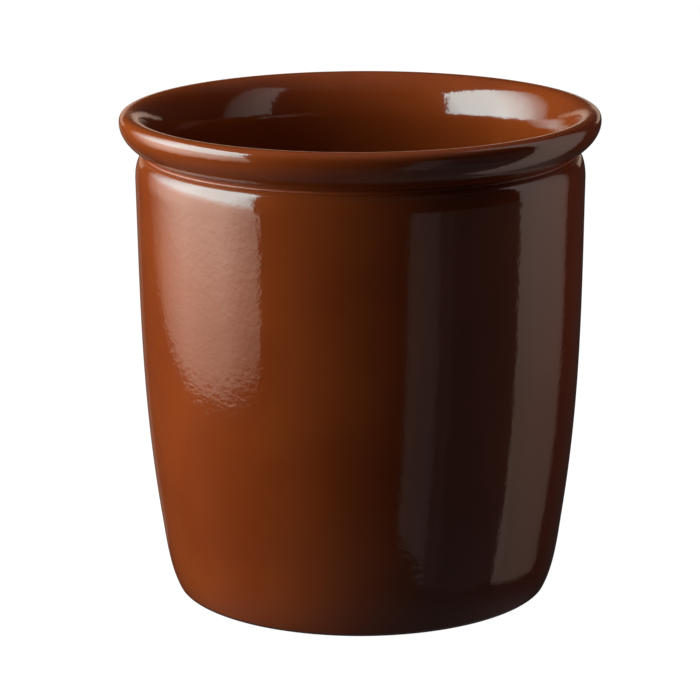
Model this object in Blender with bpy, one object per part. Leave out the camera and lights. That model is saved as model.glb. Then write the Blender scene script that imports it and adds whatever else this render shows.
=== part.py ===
"""Open stoneware crock for fermenting: the fired clay pot, its brown glaze and the glaze under its base.

Every piece is turned about the Z axis. The pot stands on z = 0, and all sizes are in metres.
"""
import math

import bpy
from mathutils import Vector
from mathutils.geometry import interpolate_bezier

# Outside of the glazed pot, from the rim down
RIM_RADIUS = 0.1
HEIGHT = 0.2038
CREST_RADIUS = 0.0957
RIM_EDGE_DROP = 0.0038
RIM_SQUARENESS = 0.83
NECK_RADIUS = 0.09
NECK_HEIGHT = 0.1866
CREASE_ROUNDING = 0.0007
SHOULDER_RADIUS = 0.0937
SHOULDER_HEIGHT = 0.176
SHOULDER_SQUARENESS = 0.92
HEEL_RADIUS = 0.0855
HEEL_HEIGHT = 0.0306
GLAZE_LINE_RADIUS = 0.0787
GLAZE_LINE_HEIGHT = 0.0007

# Inside of the glazed pot, from the mouth down
MOUTH_RADIUS = 0.0843
FLARE_DEPTH = 0.0191
CHAMBER_RADIUS = 0.0866
CHAMBER_HEIGHT = 0.15
LOWER_WALL_RADIUS = 0.0785
CORNER_RADIUS = 0.02
CORNER_END = -4
FLOOR_HEIGHT = 0.0129

# Headings of the outline where two stretches meet, in degrees: 0 is outwards and 90 is up
UP = 90
OUT = 0
DOWN = -90
SHOULDER_HEADING = -91
HEEL_HEADING = -98.4
NECK_HEADING = -155
GLAZE_LINE_HEADING = -117

# Layers: two solids that lie on each other keep a hairline gap
GLAZE_THICKNESS = 0.0006
LAYER_GAP = 0.0003

# Bare clay foot ring and the recess inside it
FOOT_RADIUS = 0.0767
FOOT_ROUNDING = 0.0006
FOOT_RING_WIDTH = 0.0065
RECESS_HEIGHT = 0.004
RECESS_WALL_SLOPE = 0.0015

SEGMENTS = 64

GLAZE_COLOUR = (0.13, 0.035, 0.01, 1.0)
GLAZE_ROUGHNESS = 0.12
CLAY_COLOUR = (0.52, 0.4, 0.28, 1.0)
CLAY_ROUGHNESS = 0.85


def direction(heading):
    """Unit vector of a heading in the (radius, height) plane."""
    return Vector((math.cos(math.radians(heading)), math.sin(math.radians(heading))))


def sweep(start, start_heading, end, end_heading, steps, leave=0.36, arrive=0.36):
    """Smooth stretch that leaves and arrives at the given headings, without its last point."""
    start = Vector(start)
    end = Vector(end)
    span = (end - start).length
    start_handle = start + span * leave * direction(start_heading)
    end_handle = end - span * arrive * direction(end_heading)
    points = interpolate_bezier(start, start_handle, end_handle, end, steps + 1)
    return [Vector((point.x, point.y)) for point in points[:-1]]


def quarter(centre, reach, start_angle, end_angle, steps, squareness=1.0):
    """Rounded stretch about a centre between two angles in degrees, without its last point."""
    points = []
    for step in range(steps):
        ray = direction(start_angle + (end_angle - start_angle) * step / steps)
        across = abs(ray.x) ** squareness * math.copysign(reach[0], ray.x)
        up = abs(ray.y) ** squareness * math.copysign(reach[1], ray.y)
        points.append(Vector((centre[0] + across, centre[1] + up)))
    return points


def glazed_outline():
    """Glazed surface from the middle of the floor, up the inside, over the rim and down to the glaze line."""
    corner_centre = Vector((LOWER_WALL_RADIUS - CORNER_RADIUS, FLOOR_HEIGHT + CORNER_RADIUS))
    corner_top = corner_centre + CORNER_RADIUS * direction(CORNER_END)
    chamber = (CHAMBER_RADIUS, CHAMBER_HEIGHT)
    mouth = (MOUTH_RADIUS, HEIGHT - FLARE_DEPTH)
    crest = (CREST_RADIUS, HEIGHT)
    rim_centre = (CREST_RADIUS, HEIGHT - RIM_EDGE_DROP)
    rim_reach = (RIM_RADIUS - CREST_RADIUS, RIM_EDGE_DROP)
    rim_edge = (RIM_RADIUS, HEIGHT - RIM_EDGE_DROP)
    crease_top = (NECK_RADIUS, NECK_HEIGHT + CREASE_ROUNDING)
    crease_end = (NECK_RADIUS, NECK_HEIGHT - CREASE_ROUNDING)
    shoulder_centre = (NECK_RADIUS, SHOULDER_HEIGHT)
    shoulder_reach = (SHOULDER_RADIUS - NECK_RADIUS, crease_end[1] - SHOULDER_HEIGHT)
    shoulder = (SHOULDER_RADIUS, SHOULDER_HEIGHT)
    heel = (HEEL_RADIUS, HEEL_HEIGHT)
    glaze_line = Vector((GLAZE_LINE_RADIUS, GLAZE_LINE_HEIGHT))

    outline = [Vector((0, FLOOR_HEIGHT))]
    outline += quarter(corner_centre, (CORNER_RADIUS, CORNER_RADIUS), DOWN, CORNER_END, 4)
    outline += sweep(corner_top, UP + CORNER_END, chamber, UP, 3)
    outline += sweep(chamber, UP, mouth, UP, 3)
    outline += sweep(mouth, UP, crest, OUT, 4, leave=0.32, arrive=0.32)
    outline += quarter(rim_centre, rim_reach, UP, OUT, 3, RIM_SQUARENESS)
    outline += sweep(rim_edge, DOWN, crease_top, NECK_HEADING, 4, leave=0.42, arrive=0.2)
    outline += sweep(crease_top, NECK_HEADING, crease_end, OUT, 2, leave=0.6, arrive=0.6)
    outline += quarter(shoulder_centre, shoulder_reach, UP, OUT, 3, SHOULDER_SQUARENESS)
    outline += sweep(shoulder, SHOULDER_HEADING, heel, HEEL_HEADING, 4)
    outline += sweep(heel, HEEL_HEADING, glaze_line, GLAZE_LINE_HEADING, 3, leave=0.3, arrive=0.3)
    outline.append(glaze_line)
    return outline


def inset(outline, depth):
    """The same outline moved into the wall by a depth, with mitred corners."""
    normals = []
    for start, end in zip(outline, outline[1:]):
        along = (end - start).normalized()
        normals.append(Vector((-along.y, along.x)))
    moved = []
    for index, point in enumerate(outline):
        before = normals[max(index - 1, 0)]
        after = normals[min(index, len(normals) - 1)]
        moved.append(point - (before + after) * depth / (1 + before.dot(after)))
    return moved


def foot_outline():
    """Bare clay from under the glaze line, round the foot ring, up into the recess and in to the middle."""
    rounding_centre = (FOOT_RADIUS, FOOT_ROUNDING)
    rounding_reach = (FOOT_ROUNDING, FOOT_ROUNDING)
    ring_inner_radius = FOOT_RADIUS - FOOT_RING_WIDTH
    outline = quarter(rounding_centre, rounding_reach, OUT, DOWN, 3)
    outline.append(Vector((FOOT_RADIUS, 0)))
    outline.append(Vector((ring_inner_radius, 0)))
    outline.append(Vector((ring_inner_radius - RECESS_WALL_SLOPE, RECESS_HEIGHT)))
    outline.append(Vector((0, RECESS_HEIGHT)))
    return outline


def material(name, colour, roughness):
    """A plain Principled material."""
    made = bpy.data.materials.new(name)
    made.use_nodes = True
    shader = made.node_tree.nodes["Principled BSDF"]
    shader.inputs["Base Color"].default_value = colour
    shader.inputs["Roughness"].default_value = roughness
    shader.inputs["Metallic"].default_value = 0.0
    return made


def turned_piece(name, outline, finish):
    """One solid, made by turning an outline that starts and ends on the Z axis."""
    mesh = bpy.data.meshes.new(name)
    vertices = [(point.x, 0, point.y) for point in outline]
    edges = [(index, index + 1) for index in range(len(outline) - 1)]
    mesh.from_pydata(vertices, edges, [])
    mesh.materials.append(finish)
    piece = bpy.data.objects.new(name, mesh)
    bpy.context.collection.objects.link(piece)
    turn = piece.modifiers.new("turn", "SCREW")
    turn.axis = "Z"
    turn.angle = math.tau
    turn.steps = SEGMENTS
    turn.render_steps = SEGMENTS
    turn.use_merge_vertices = True
    turn.merge_threshold = 0.00005
    return piece


def stoneware_body():
    """The clay pot: it follows the glaze from underneath, and its foot ring is bare."""
    under_glaze = inset(glazed_outline(), GLAZE_THICKNESS + LAYER_GAP)
    clay = material("bare_clay", CLAY_COLOUR, CLAY_ROUGHNESS)
    return turned_piece("stoneware_body", under_glaze + foot_outline(), clay)


def glaze_coat():
    """The glaze over the inside, the rim and the outside: a thin closed skin."""
    surface = glazed_outline()
    underside = inset(surface, GLAZE_THICKNESS)
    glaze = material("brown_glaze", GLAZE_COLOUR, GLAZE_ROUGHNESS)
    return turned_piece("glaze_coat", surface + underside[::-1], glaze)


def base_glaze():
    """The round patch of glaze in the recess under the base."""
    top = RECESS_HEIGHT - LAYER_GAP
    radius = FOOT_RADIUS - FOOT_RING_WIDTH - RECESS_WALL_SLOPE - LAYER_GAP
    centre = (radius - GLAZE_THICKNESS, top)
    reach = (GLAZE_THICKNESS, GLAZE_THICKNESS)
    outline = [Vector((0, top))]
    outline += quarter(centre, reach, OUT, DOWN, 3)
    outline.append(Vector((radius - GLAZE_THICKNESS, top - GLAZE_THICKNESS)))
    outline.append(Vector((0, top - GLAZE_THICKNESS)))
    glaze = material("base_glaze", GLAZE_COLOUR, GLAZE_ROUGHNESS)
    return turned_piece("base_glaze", outline, glaze)


for leftover in list(bpy.data.objects):
    bpy.data.objects.remove(leftover)

stoneware_body()
glaze_coat()
base_glaze()
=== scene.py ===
import math

import bpy
from mathutils import Matrix, Vector
from mathutils.geometry import interpolate_bezier


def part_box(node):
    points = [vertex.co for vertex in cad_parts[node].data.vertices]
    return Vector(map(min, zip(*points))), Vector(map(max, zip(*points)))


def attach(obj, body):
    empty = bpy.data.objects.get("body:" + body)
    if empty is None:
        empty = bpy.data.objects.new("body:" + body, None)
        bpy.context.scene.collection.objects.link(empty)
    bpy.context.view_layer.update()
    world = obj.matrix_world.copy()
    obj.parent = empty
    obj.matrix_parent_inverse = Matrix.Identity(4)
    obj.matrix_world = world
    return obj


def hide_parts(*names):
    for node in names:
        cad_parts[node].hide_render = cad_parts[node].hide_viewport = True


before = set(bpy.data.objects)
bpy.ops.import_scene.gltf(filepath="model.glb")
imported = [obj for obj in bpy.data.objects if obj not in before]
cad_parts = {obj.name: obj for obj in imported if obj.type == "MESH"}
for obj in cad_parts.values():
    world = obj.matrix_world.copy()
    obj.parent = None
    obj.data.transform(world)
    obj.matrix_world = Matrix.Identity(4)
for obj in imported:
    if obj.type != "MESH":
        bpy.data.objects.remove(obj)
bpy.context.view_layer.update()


# ---------------------------------------------------------------------------------------------
# Clay pot. One lump of stoneware, turned on the wheel: floor, wall, neck, rolled rim and foot.
# It is fired, and all of it but the foot ring lies under the glaze.
# ---------------------------------------------------------------------------------------------
low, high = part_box("glaze_coat")
RIM_RADIUS = high.x
HEIGHT = high.z
CREST_RADIUS = RIM_RADIUS - 0.0043
RIM_EDGE_DROP = 0.0038
RIM_SQUARENESS = 0.83
NECK_RADIUS = RIM_RADIUS - 0.01
NECK_HEIGHT = HEIGHT - 0.0172
CREASE_ROUNDING = 0.0007
SHOULDER_RADIUS = RIM_RADIUS - 0.0063
SHOULDER_HEIGHT = HEIGHT - 0.0278
SHOULDER_SQUARENESS = 0.92
HEEL_RADIUS = 0.0855
HEEL_HEIGHT = 0.0306
GLAZE_LINE_RADIUS = 0.0787
GLAZE_LINE_HEIGHT = low.z
MOUTH_RADIUS = 0.0843
FLARE_DEPTH = 0.0191
CHAMBER_RADIUS = 0.0866
CHAMBER_HEIGHT = 0.15
LOWER_WALL_RADIUS = 0.0785
CORNER_RADIUS = 0.02
CORNER_END = -4
FLOOR_HEIGHT = 0.0129
GLAZE_THICKNESS = 0.0006
LAYER_GAP = 0.0003
FOOT_RADIUS = 0.0767
FOOT_ROUNDING = 0.0006
FOOT_RING_WIDTH = 0.0065
RECESS_HEIGHT = 0.004
RECESS_WALL_SLOPE = 0.0015
UP, OUT, DOWN = 90, 0, -90
SHOULDER_HEADING = -91
HEEL_HEADING = -98.4
NECK_HEADING = -155
GLAZE_LINE_HEADING = -117
SEGMENTS = 256


def direction(heading):
    """Unit vector of a heading in degrees, from 0 outwards to 90 upwards, beside the wheel's axis."""
    return Vector((math.cos(math.radians(heading)), 0, math.sin(math.radians(heading))))


def at(radius, height):
    """A point of an outline, beside the wheel's axis."""
    return Vector((radius, 0, height))


def sweep(start, start_heading, end, end_heading, steps, leave=0.36, arrive=0.36):
    """Smooth stretch that leaves and arrives at the given headings, without its last point."""
    span = (end - start).length
    start_handle = start + span * leave * direction(start_heading)
    end_handle = end - span * arrive * direction(end_heading)
    return interpolate_bezier(start, start_handle, end_handle, end, steps + 1)[:-1]


def quarter(centre, across, up, start_angle, end_angle, steps, squareness=1.0):
    """Rounded stretch about a centre between two angles in degrees, without its last point."""
    points = []
    for step in range(steps):
        ray = direction(start_angle + (end_angle - start_angle) * step / steps)
        x = abs(ray.x) ** squareness * math.copysign(across, ray.x)
        z = abs(ray.z) ** squareness * math.copysign(up, ray.z)
        points.append(centre + at(x, z))
    return points


def glazed_outline():
    """Glazed surface from the middle of the floor, up the inside, over the rim and down to the glaze line."""
    corner_centre = at(LOWER_WALL_RADIUS - CORNER_RADIUS, FLOOR_HEIGHT + CORNER_RADIUS)
    corner_top = corner_centre + CORNER_RADIUS * direction(CORNER_END)
    chamber = at(CHAMBER_RADIUS, CHAMBER_HEIGHT)
    mouth = at(MOUTH_RADIUS, HEIGHT - FLARE_DEPTH)
    crest = at(CREST_RADIUS, HEIGHT)
    rim_centre = at(CREST_RADIUS, HEIGHT - RIM_EDGE_DROP)
    rim_edge = at(RIM_RADIUS, HEIGHT - RIM_EDGE_DROP)
    crease_top = at(NECK_RADIUS, NECK_HEIGHT + CREASE_ROUNDING)
    crease_end = at(NECK_RADIUS, NECK_HEIGHT - CREASE_ROUNDING)
    shoulder_centre = at(NECK_RADIUS, SHOULDER_HEIGHT)
    shoulder = at(SHOULDER_RADIUS, SHOULDER_HEIGHT)
    heel = at(HEEL_RADIUS, HEEL_HEIGHT)
    glaze_line = at(GLAZE_LINE_RADIUS, GLAZE_LINE_HEIGHT)
    shoulder_width = SHOULDER_RADIUS - NECK_RADIUS
    shoulder_drop = crease_end.z - SHOULDER_HEIGHT

    floor_radius = corner_centre.x
    outline = [at(floor_radius * step / 12, FLOOR_HEIGHT) for step in range(12)]
    outline += quarter(corner_centre, CORNER_RADIUS, CORNER_RADIUS, DOWN, CORNER_END, 16)
    outline += sweep(corner_top, UP + CORNER_END, chamber, UP, 36)
    outline += sweep(chamber, UP, mouth, UP, 24)
    outline += sweep(mouth, UP, crest, OUT, 24, leave=0.32, arrive=0.32)
    outline += quarter(rim_centre, RIM_RADIUS - CREST_RADIUS, RIM_EDGE_DROP, UP, OUT, 16, RIM_SQUARENESS)
    outline += sweep(rim_edge, DOWN, crease_top, NECK_HEADING, 24, leave=0.42, arrive=0.2)
    outline += sweep(crease_top, NECK_HEADING, crease_end, OUT, 12, leave=0.6, arrive=0.6)
    outline += quarter(shoulder_centre, shoulder_width, shoulder_drop, UP, OUT, 20, SHOULDER_SQUARENESS)
    outline += sweep(shoulder, SHOULDER_HEADING, heel, HEEL_HEADING, 72)
    outline += sweep(heel, HEEL_HEADING, glaze_line, GLAZE_LINE_HEADING, 20, leave=0.3, arrive=0.3)
    outline.append(glaze_line)
    return outline


def inset(outline, depth):
    """The same outline moved into the wall by a depth, with mitred corners."""
    normals = []
    for start, end in zip(outline, outline[1:]):
        along = (end - start).normalized()
        normals.append(at(-along.z, along.x))
    moved = []
    for index, point in enumerate(outline):
        before = normals[max(index - 1, 0)]
        after = normals[min(index, len(normals) - 1)]
        moved.append(point - (before + after) * depth / (1 + before.dot(after)))
    return moved


def turn_on_wheel(name, outline):
    """A closed piece, made by drawing its outline point by point and spinning it about the Z axis."""
    bpy.ops.object.select_all(action="DESELECT")
    bpy.ops.mesh.primitive_plane_add(size=0.001)
    piece = bpy.context.object
    piece.name = name
    bpy.ops.object.mode_set(mode="EDIT")
    bpy.ops.mesh.merge(type="CENTER")
    bpy.ops.transform.translate(value=outline[0])
    for start, end in zip(outline, outline[1:]):
        bpy.ops.mesh.extrude_region_move(TRANSFORM_OT_translate={"value": end - start})
    bpy.ops.mesh.select_all(action="SELECT")
    bpy.ops.mesh.spin(steps=SEGMENTS, angle=math.tau, center=(0, 0, 0), axis=(0, 0, 1))
    bpy.ops.mesh.select_all(action="SELECT")
    bpy.ops.mesh.remove_doubles(threshold=0.00001)
    bpy.ops.mesh.normals_make_consistent(inside=False)
    bpy.ops.object.mode_set(mode="OBJECT")
    bpy.ops.object.shade_smooth()
    return piece


GLAZED_OUTLINE = glazed_outline()
ring_inner_radius = FOOT_RADIUS - FOOT_RING_WIDTH
recess_edge = at(ring_inner_radius - RECESS_WALL_SLOPE, RECESS_HEIGHT)
clay_outline = inset(GLAZED_OUTLINE[::4] + GLAZED_OUTLINE[-1:], GLAZE_THICKNESS + LAYER_GAP)
clay_outline += quarter(at(FOOT_RADIUS, FOOT_ROUNDING), FOOT_ROUNDING, FOOT_ROUNDING, OUT, DOWN, 8)
clay_outline += [at(FOOT_RADIUS - FOOT_RING_WIDTH * step / 6, 0) for step in range(6)]
clay_outline += sweep(at(ring_inner_radius, 0), 180, recess_edge, 100, 8)
clay_outline += [recess_edge, at(0, RECESS_HEIGHT)]
clay_pot = turn_on_wheel("clay_pot", clay_outline)


class Paint:
    """A socket of a material. Sums on it read as sums, and add Math nodes."""

    def __init__(self, tree, socket=None):
        self.tree = tree
        self.socket = socket

    def node(self, kind, settings, inputs, output=0):
        """Any node: its settings first, then the values or links of its sockets."""
        made = self.tree.nodes.new(kind)
        for name, value in settings.items():
            if name == "stops":
                self.set_stops(made.color_ramp, value)
            else:
                setattr(made, name, value)
        for name, value in inputs.items():
            if isinstance(value, Paint):
                self.tree.links.new(value.socket, made.inputs[name])
            else:
                made.inputs[name].default_value = value
        return Paint(self.tree, made.outputs[output])

    def set_stops(self, ramp, stops):
        """Colour ramp stops, as position and colour pairs."""
        while len(ramp.elements) < len(stops):
            ramp.elements.new(1.0)
        for element, (position, colour) in zip(ramp.elements, stops):
            element.position = position
            element.color = colour

    def math(self, operation, first, second):
        return self.node("ShaderNodeMath", {"operation": operation}, {0: first, 1: second})

    def __add__(self, other):
        return self.math("ADD", self, other)

    def __radd__(self, other):
        return self.math("ADD", other, self)

    def __sub__(self, other):
        return self.math("SUBTRACT", self, other)

    def __rsub__(self, other):
        return self.math("SUBTRACT", other, self)

    def __mul__(self, other):
        return self.math("MULTIPLY", self, other)

    def __rmul__(self, other):
        return self.math("MULTIPLY", other, self)

    def noise(self, place, scale, detail=2.0, roughness=0.5):
        """Cloudy noise from 0 to 1 at a place."""
        inputs = {"Vector": place, "Scale": scale, "Detail": detail, "Roughness": roughness}
        return self.node("ShaderNodeTexNoise", {}, inputs)

    def band(self, value, start, end):
        """0 below start and 1 above end, smooth in between."""
        inputs = {"Value": value, "From Min": start, "From Max": end}
        return self.node("ShaderNodeMapRange", {"interpolation_type": "SMOOTHSTEP"}, inputs)

    def mix(self, mask, first, second):
        """A colour between two, by a mask."""
        settings = {"data_type": "RGBA"}
        return self.node("ShaderNodeMix", settings, {"Factor": mask, 6: first, 7: second}, output=2)


def new_material(name):
    """An empty material with its shader, and the tree's first Paint."""
    material = bpy.data.materials.new(name)
    material.use_nodes = True
    return material, material.node_tree.nodes["Principled BSDF"], Paint(material.node_tree)


def feed(shader, name, paint):
    paint.tree.links.new(paint.socket, shader.inputs[name])


CLAY_PALE = (0.50, 0.385, 0.265, 1)
CLAY_TOASTED = (0.34, 0.225, 0.14, 1)
IRON_SPECK = (0.10, 0.05, 0.03, 1)
GRAIN_DEPTH = 0.00006

clay, clay_shader, paint = new_material("bare_clay")
place = paint.node("ShaderNodeTexCoord", {}, {}, output="Object")
patches = paint.band(paint.noise(place, 60, 4.0), 0.35, 0.7)
specks = paint.band(paint.noise(place, 1500, 1.0), 0.70, 0.74)
clay_colour = paint.mix(patches, CLAY_PALE, CLAY_TOASTED)
feed(clay_shader, "Base Color", paint.mix(specks * 0.7, clay_colour, IRON_SPECK))
feed(clay_shader, "Roughness", 0.75 + paint.noise(place, 500) * 0.2)
grain = paint.noise(place, 1800, 3.0) * GRAIN_DEPTH
bump = paint.node("ShaderNodeBump", {}, {"Strength": 1.0, "Distance": 1.0, "Height": grain})
feed(clay_shader, "Normal", bump)
clay_pot.data.materials.append(clay)
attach(clay_pot, "root")
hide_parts("stoneware_body")


# ---------------------------------------------------------------------------------------------
# Glaze coat. A glassy iron-brown skin over the inside, the rim and the outside, poured on and
# melted in the kiln. It stops in a soft roll just above the foot. Its colour is painted lighter in
# the crease under the rim, as painted light against the shade that falls in that crease.
# ---------------------------------------------------------------------------------------------
glaze_underside = inset(GLAZED_OUTLINE[::4] + GLAZED_OUTLINE[-1:], GLAZE_THICKNESS)
glaze_coat = turn_on_wheel("glaze", GLAZED_OUTLINE + glaze_underside[::-1])

GLAZE_BROWN = (0.15, 0.0258, 0.0045, 1)
GLAZE_DEEP = (0.128, 0.0203, 0.0036, 1)
GLAZE_SPECK_AND_PAINTED_LIGHT = (0.24, 0.045, 0.0085, 1)
# Height of the band at the neck crease that is painted lighter, painted light against the shade there.
CREASE_BELOW = 0.002
CREASE_ABOVE = 0.005
DIMPLE_DEPTH = 0.000045
SWELL_DEPTH = 0.00008


def glaze_material(name):
    """Brown glaze: cloudy body colour, pale iron specks, a rougher crease at the neck painted lighter as
    painted light against its shade, and dimples.
    """
    material, shader, paint = new_material(name)
    place = paint.node("ShaderNodeTexCoord", {}, {}, output="Object")
    clouds = paint.band(paint.noise(place, 22, 3.0), 0.3, 0.7)
    body = paint.mix(clouds, GLAZE_BROWN, GLAZE_DEEP)
    specks = paint.band(paint.noise(place, 900, 1.0), 0.73, 0.78)
    height = paint.node("ShaderNodeSeparateXYZ", {}, {0: place}, output="Z")
    flat = paint.node("ShaderNodeVectorMath", {"operation": "MULTIPLY"}, {0: place, 1: (1, 1, 0)})
    radius = paint.node("ShaderNodeVectorMath", {"operation": "LENGTH"}, {0: flat}, output="Value")
    # Mask of the neck crease under the rim. It paints the crease lighter, as painted light where shade falls,
    # and also makes it rougher.
    above_start = paint.band(height, NECK_HEIGHT - CREASE_BELOW, NECK_HEIGHT)
    above_end = paint.band(height, NECK_HEIGHT, NECK_HEIGHT + CREASE_ABOVE)
    outside = paint.band(radius, NECK_RADIUS - 0.002, NECK_RADIUS - 0.001)
    crease_painted_light_and_rough = above_start * (1 - above_end) * outside
    # Pale specks, and the neck crease painted lighter: painted light in its shade.
    feed(shader, "Base Color", paint.mix(specks * 0.5 + crease_painted_light_and_rough * 0.9, body, GLAZE_SPECK_AND_PAINTED_LIGHT))
    feed(shader, "Roughness", 0.075 + paint.noise(place, 45, 3.0) * 0.03 + crease_painted_light_and_rough * 0.3)
    relief = paint.noise(place, 420, 1.0) * DIMPLE_DEPTH + paint.noise(place, 75, 1.0) * SWELL_DEPTH
    bump = paint.node("ShaderNodeBump", {}, {"Strength": 1.0, "Distance": 1.0, "Height": relief})
    feed(shader, "Normal", bump)
    return material


glaze_coat.data.materials.append(glaze_material("brown_glaze"))
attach(glaze_coat, "root")
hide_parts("glaze_coat")


# ---------------------------------------------------------------------------------------------
# Base glaze. The same glaze in the shallow recess underneath: the foot ring around it is wiped
# clean before firing, so that the pot doesn't stick to the kiln shelf.
# ---------------------------------------------------------------------------------------------
low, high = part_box("base_glaze")
base_centre = at(high.x - GLAZE_THICKNESS, high.z)
base_outline = [at(0, high.z)]
base_outline += quarter(base_centre, GLAZE_THICKNESS, GLAZE_THICKNESS, OUT, DOWN, 8)
base_outline += [at(base_centre.x * (1 - step / 12), low.z) for step in range(13)]
base_patch = turn_on_wheel("glaze_under_base", base_outline)
base_patch.data.materials.append(glaze_material("base_glaze"))
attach(base_patch, "root")
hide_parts("base_glaze")


# ---------------------------------------------------------------------------------------------
# Studio. A white paper floor and sky, a big soft box on the left that is brightest at its top,
# a narrow white card close on the right, weak cards and fills around the pot, and the camera.
# ---------------------------------------------------------------------------------------------
POT_MIDDLE = Vector((0, 0, HEIGHT / 2))
LEAN_FROM = 0.1


def toward(azimuth, elevation):
    """Unit vector from the pot: azimuth 0 is towards the camera and 90 to its right."""
    turn = math.radians(azimuth)
    rise = math.radians(elevation)
    return Vector((math.sin(turn) * math.cos(rise), -math.cos(turn) * math.cos(rise), math.sin(rise)))


def away(azimuth, elevation, distance):
    """A place that far from the middle of the pot."""
    return POT_MIDDLE + toward(azimuth, elevation) * distance


def panel(name, centre, heading, size, radiance, across, upward, roll=0, lean=0):
    """A soft box that faces the pot. Its light is shaded across and upward, and cut off on a leaning edge."""
    lamp = bpy.data.lights.new(name, "AREA")
    lamp.shape = "RECTANGLE"
    lamp.size, lamp.size_y = size
    lamp.energy = radiance * math.pi * lamp.size * lamp.size_y
    lamp.use_nodes = True
    cloth = Paint(lamp.node_tree)
    place = cloth.node("ShaderNodeNewGeometry", {}, {}, output="Parametric")
    aside = cloth.node("ShaderNodeSeparateXYZ", {}, {0: place}, output="X")
    rise = cloth.node("ShaderNodeSeparateXYZ", {}, {0: place}, output="Y")
    emission = lamp.node_tree.nodes["Emission"]
    beyond_edge = cloth.band(aside + (rise - LEAN_FROM) * lean, 1.0, 1.01)
    shading = cloth.node("ShaderNodeValToRGB", {"stops": across}, {"Fac": aside})
    feed(emission, "Color", cloth.node("ShaderNodeValToRGB", {"stops": upward}, {"Fac": rise}))
    feed(emission, "Strength", shading * (1 - beyond_edge))
    light = bpy.data.objects.new(name, lamp)
    bpy.context.scene.collection.objects.link(light)
    facing = toward(*heading).to_track_quat("Z", "Y").to_matrix().to_4x4()
    light.matrix_world = Matrix.Translation(centre) @ facing @ Matrix.Rotation(math.radians(roll), 4, "Z")
    light.visible_camera = False
    return light


def grey(level):
    return (level, level, level, 1)


EVEN = [(0, grey(1)), (1, grey(1))]
WARM = [(0, (1, 0.72, 0.55, 1)), (1, (1, 0.72, 0.55, 1))]
BIG_BOX_ACROSS = [(0, grey(0)), (0.16, grey(0.18)), (0.30, grey(0.55)), (0.45, grey(0.95)), (0.72, grey(1)),
                  (0.83, grey(0.72)), (0.94, grey(0.56)), (1, grey(0.54))]
BIG_BOX_UPWARD = [(0, (0.18, 0.14, 0.11, 1)), (0.10, (0.28, 0.22, 0.18, 1)), (0.17, (0.44, 0.37, 0.31, 1)),
                  (0.32, (0.50, 0.43, 0.37, 1)), (0.38, (0.64, 0.64, 0.60, 1)), (0.45, (0.78, 1, 1, 1)),
                  (1, (0.78, 1, 1, 1))]
CARD_ACROSS = [(0, grey(1)), (0.3, grey(0.85)), (0.6, grey(0.6)), (0.88, grey(0.4)), (1, grey(0.05))]
CARD_UPWARD = [(0, (0.40, 0.29, 0.24, 1)), (0.2, (0.5, 0.37, 0.3, 1)), (0.45, (0.8, 0.68, 0.62, 1)),
               (1, grey(1))]
FRONT_ACROSS = [(0, grey(1)), (0.24, grey(1)), (0.27, grey(0.32)), (0.34, grey(0.5)), (0.38, grey(0.28)),
                (1, grey(0.3))]

panel("soft_box", away(-90, 15.7, 0.95), (-90, 15.7), (1.82, 1.25), 12.1,
      BIG_BOX_ACROSS, BIG_BOX_UPWARD, roll=-5, lean=0.3)
panel("white_card", Vector((0.1705, -0.015, 0.215)), (81.5, 0), (0.115, 0.53), 1.3, CARD_ACROSS, CARD_UPWARD)
panel("backdrop", away(180, 7, 1.5), (180, 7), (1.9, 0.30), 0.65, EVEN, WARM)
panel("back_card", away(-162, -12, 1.2), (-162, -12), (0.45, 0.5), 0.13, EVEN, WARM)
front_card = panel("front_card", away(54, -18, 0.9), (54, -18), (1.05, 0.62), 0.2, FRONT_ACROSS, EVEN)
front_card.visible_diffuse = False
low_fill = panel("low_fill", away(-95, -10, 0.95), (-95, -10), (0.42, 1.6), 4.4, EVEN, EVEN)
low_fill.visible_glossy = False
top_fill = panel("top_fill", away(-90, 72, 1), (-90, 72), (1.0, 1.0), 1.5, EVEN, EVEN)
top_fill.visible_glossy = False

world = bpy.data.worlds.new("studio")
bpy.context.scene.world = world
world.use_nodes = True
sky = Paint(world.node_tree)
background = world.node_tree.nodes["Background"]
background.inputs["Color"].default_value = (1, 1, 1, 1)
camera_ray = sky.node("ShaderNodeLightPath", {}, {}, output="Is Camera Ray")
ray_direction = sky.node("ShaderNodeTexCoord", {}, {}, output="Generated")
ray_rise = sky.node("ShaderNodeSeparateXYZ", {}, {0: ray_direction}, output="Z")
ceiling = sky.band(ray_rise, 0.60, 0.80) * 0.10
table = (1 - sky.band(ray_rise, -0.70, -0.45)) * 0.08
feed(background, "Strength", ceiling + table + 0.02 + camera_ray)

bpy.ops.object.select_all(action="DESELECT")
bpy.ops.mesh.primitive_plane_add(size=40, location=(0, 0, -0.0003))
floor = bpy.context.object
bpy.ops.object.transform_apply()
floor.name = "floor"
floor_paper, floor_shader, paint = new_material("white_paper")
floor_shader.inputs["Base Color"].default_value = (0.05, 0.05, 0.05, 1)
floor_shader.inputs["Roughness"].default_value = 1.0
floor_shader.inputs["Specular IOR Level"].default_value = 0.0
floor_shader.inputs["Emission Color"].default_value = (1, 1, 1, 1)
floor_shader.inputs["Emission Strength"].default_value = 1.0
floor.data.materials.append(floor_paper)
floor.visible_glossy = False
floor.visible_diffuse = False

bpy.context.scene.view_settings.view_transform = "Standard"

CAMERA_DISTANCE = 1.3
CAMERA_ELEVATION = 14.5
CAMERA_ROLL = 0.31
CAMERA_AIM = Vector((-0.0047, 0, 0.1005))
lens = bpy.data.cameras.new("camera")
lens.lens = 158
lens.sensor_width = 36
camera = bpy.data.objects.new("camera", lens)
bpy.context.scene.collection.objects.link(camera)
camera_place = away(0, CAMERA_ELEVATION, CAMERA_DISTANCE)
facing = (camera_place - CAMERA_AIM).to_track_quat("Z", "Y").to_matrix().to_4x4()
level = Matrix.Rotation(math.radians(-CAMERA_ROLL), 4, "Z")
camera.matrix_world = Matrix.Translation(camera_place) @ facing @ level
bpy.context.scene.camera = camera
